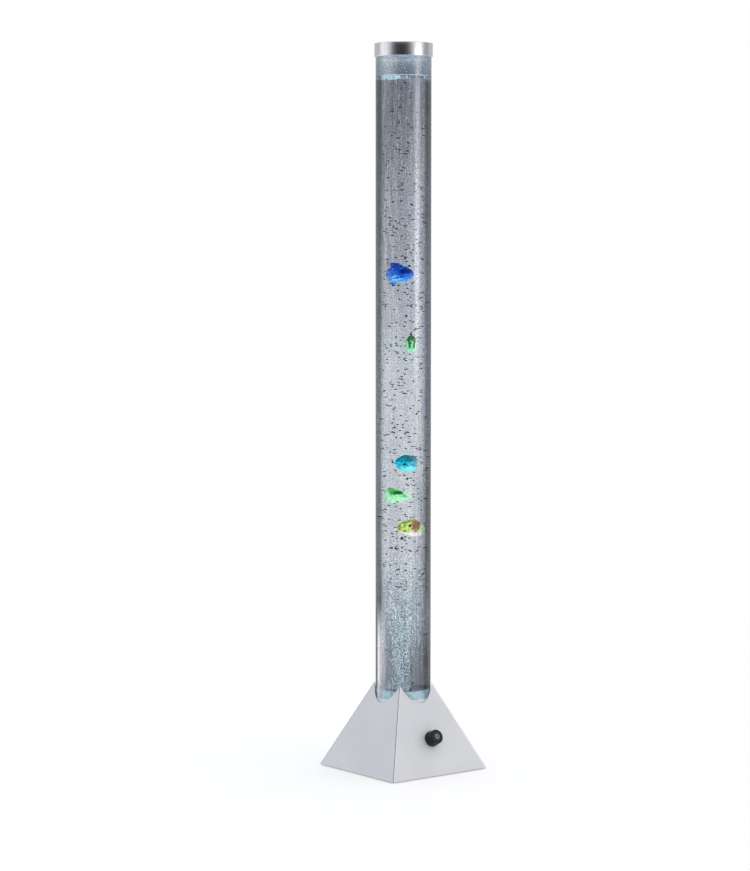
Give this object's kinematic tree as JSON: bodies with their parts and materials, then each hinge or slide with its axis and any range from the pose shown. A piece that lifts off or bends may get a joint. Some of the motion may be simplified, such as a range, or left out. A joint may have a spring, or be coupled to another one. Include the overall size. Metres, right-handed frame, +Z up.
{
  "type": "bubble lamp",
  "caption": "Tall clear water tube on a folded metal pyramid, with drifting plastic fish, a lift-off cap, a rotary knob, and the air pump and light that work it in the base.",
  "frame": {"origin": "on the floor, under the tube's axis, in the middle of the square base", "axes": "+Z up along the tube, -Y towards the knob, +X to the right of someone facing the knob"},
  "size_m": [0.194, 0.194, 1.1748],
  "materials": {
    "housing": "satin silver",
    "cap": "satin chrome",
    "tube": "clear polished acrylic",
    "plug": "clear polished acrylic",
    "rubber": "matt moulded",
    "knob": "satin moulded",
    "knob_cap": "satin moulded",
    "plate": "moulded",
    "holder": "moulded",
    "steel": "zinc plated",
    "brass": "turned",
    "circuit": "solder mask",
    "lens": "clear",
    "copper": "enamelled wire",
    "iron": "laminated",
    "pump": "moulded",
    "silicone": "clear",
    "black_plastic": "moulded",
    "foam": "foam",
    "stone": "porous",
    "fish_blue": "painted moulded",
    "fish_green": "painted moulded",
    "fish_teal": "painted moulded",
    "fish_lime": "painted moulded",
    "fish_sun": "painted moulded"
  },
  "bodies": {
    "lamp": {"base_housing": "housing", "bottom_plate": "plate", "foot_rear_right": "rubber", "foot_rear_left": "rubber", "foot_front_left": "rubber", "foot_front_right": "rubber", "plate_screw_right": "steel", "plate_screw_rear": "steel", "plate_screw_left": "steel", "plate_screw_front": "steel", "leg_screw_rear_right": "steel", "leg_screw_rear_left": "steel", "leg_screw_front_left": "steel", "leg_screw_front_right": "steel", "plug_screw_1": "steel", "plug_screw_2": "steel", "plug_screw_3": "steel", "tube_holder": "holder", "tube_seal": "rubber", "tube": "tube", "tube_plug": "plug", "light_board": "circuit", "light_diode_1": "lens", "light_diode_2": "lens", "light_diode_3": "lens", "air_nozzle": "brass", "air_stone": "stone", "check_valve": "pump", "hose_upper": "silicone", "hose_lower": "silicone", "pump_mat": "foam", "pump_case": "pump", "pump_cover": "pump", "pump_core": "iron", "pump_coil": "copper", "pump_head": "pump", "control_board": "circuit", "control_chip": "black_plastic", "terminal_block": "pump", "switch_body": "black_plastic", "switch_nut": "steel", "power_inlet": "black_plastic", "inlet_nut": "steel", "inlet_lead": "black_plastic", "switch_lead": "black_plastic", "pump_lead": "black_plastic", "light_lead": "black_plastic"},
    "cap": {"cap": "cap", "cap_seal": "rubber"},
    "knob": {"knob": "knob", "knob_cap": "knob_cap", "switch_shaft": "steel"},
    "pump_arm": {"pump_arm": "holder", "pump_magnet": "iron", "pump_diaphragm": "rubber"},
    "fish_blue": {"fish_blue": "fish_blue"},
    "fish_green": {"fish_green": "fish_green"},
    "fish_teal": {"fish_teal": "fish_teal"},
    "fish_lime": {"fish_lime": "fish_lime"},
    "fish_sun": {"fish_sun": "fish_sun"}
  },
  "joints": [
    {"name": "cap_lift", "type": "slide", "parent": "lamp", "child": "cap", "axis": [0, 0, 1], "range_m": [0, 0.1]},
    {"name": "knob_turn", "type": "hinge", "parent": "lamp", "child": "knob", "pos_m": [0, -0.07195, 0.056], "axis": [0, -0.9086, 0.4177], "range_deg": [-135, 135]},
    {"name": "pump_arm_swing", "type": "hinge", "parent": "lamp", "child": "pump_arm", "pos_m": [0.024, 0, 0.0279], "axis": [0, 0, 1], "range_deg": [-2, 2], "stiffness_Nm_per_rad": 0.4},
    {"name": "fish_blue_drift", "type": "slide", "parent": "lamp", "child": "fish_blue", "axis": [0, 0, 1], "range_m": [-0.034, 0.29]},
    {"name": "fish_green_drift", "type": "slide", "parent": "lamp", "child": "fish_green", "axis": [0, 0, 1], "range_m": [-0.078, 0.034]},
    {"name": "fish_teal_drift", "type": "slide", "parent": "lamp", "child": "fish_teal", "axis": [0, 0, 1], "range_m": [-0.011, 0.078]},
    {"name": "fish_lime_drift", "type": "slide", "parent": "lamp", "child": "fish_lime", "axis": [0, 0, 1], "range_m": [-0.01, 0.011]},
    {"name": "fish_sun_drift", "type": "slide", "parent": "lamp", "child": "fish_sun", "axis": [0, 0, 1], "range_m": [-0.23, 0.01]}
  ]
}
